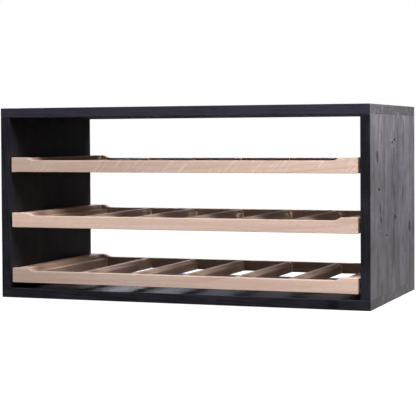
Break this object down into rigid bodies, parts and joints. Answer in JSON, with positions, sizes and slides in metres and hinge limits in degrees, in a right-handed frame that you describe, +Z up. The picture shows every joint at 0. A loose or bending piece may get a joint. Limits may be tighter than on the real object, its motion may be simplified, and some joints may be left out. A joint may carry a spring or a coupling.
{
  "type": "wine rack",
  "caption": "Open black timber case with pull-out oak shelves, whose slats carry wine bottles lying on their sides with necks to the front.",
  "frame": {"origin": "middle of the footprint, on the surface that the rack stands on", "axes": "+X to the right along the width, +Z up, front faces -Y"},
  "size_m": [0.6, 0.3, 0.3],
  "materials": {
    "black_pine": "black-stained softwood, satin, grain and knots showing through",
    "black_beech": "black-stained hardwood strip, waxed",
    "oak": "planed oak, clear matt oil, with ray flecks",
    "dowel_beech": "plain beech dowel",
    "zinc_steel": "bright zinc plate"
  },
  "bodies": {
    "case": {"top_board": "black_pine", "bottom_board": "black_pine", "left_side_board": "black_pine", "right_side_board": "black_pine", "case_dowels": "dowel_beech", "lower_left_runner": "black_beech", "lower_right_runner": "black_beech", "middle_left_runner": "black_beech", "middle_right_runner": "black_beech", "upper_left_runner": "black_beech", "upper_right_runner": "black_beech", "runner_screws": "zinc_steel"},
    "lower_shelf": {"lower_front_rail": "oak", "lower_back_rail": "oak", "lower_left_side_rail": "oak", "lower_right_side_rail": "oak", "lower_left_end_slat": "oak", "lower_right_end_slat": "oak", "lower_slat_1": "oak", "lower_slat_2": "oak", "lower_slat_3": "oak", "lower_slat_4": "oak", "lower_slat_5": "oak", "lower_shelf_dowels": "dowel_beech"},
    "middle_shelf": {"middle_front_rail": "oak", "middle_back_rail": "oak", "middle_left_side_rail": "oak", "middle_right_side_rail": "oak", "middle_left_end_slat": "oak", "middle_right_end_slat": "oak", "middle_slat_1": "oak", "middle_slat_2": "oak", "middle_slat_3": "oak", "middle_slat_4": "oak", "middle_slat_5": "oak", "middle_shelf_dowels": "dowel_beech"},
    "upper_shelf": {"upper_front_rail": "oak", "upper_back_rail": "oak", "upper_left_side_rail": "oak", "upper_right_side_rail": "oak", "upper_left_end_slat": "oak", "upper_right_end_slat": "oak", "upper_slat_1": "oak", "upper_slat_2": "oak", "upper_slat_3": "oak", "upper_slat_4": "oak", "upper_slat_5": "oak", "upper_shelf_dowels": "dowel_beech"}
  },
  "joints": [
    {"name": "lower_shelf_slide", "type": "slide", "parent": "case", "child": "lower_shelf", "axis": [0, -1, 0], "range_m": [0, 0.2]},
    {"name": "middle_shelf_slide", "type": "slide", "parent": "case", "child": "middle_shelf", "axis": [0, -1, 0], "range_m": [0, 0.2]},
    {"name": "upper_shelf_slide", "type": "slide", "parent": "case", "child": "upper_shelf", "axis": [0, -1, 0], "range_m": [0, 0.2]}
  ]
}
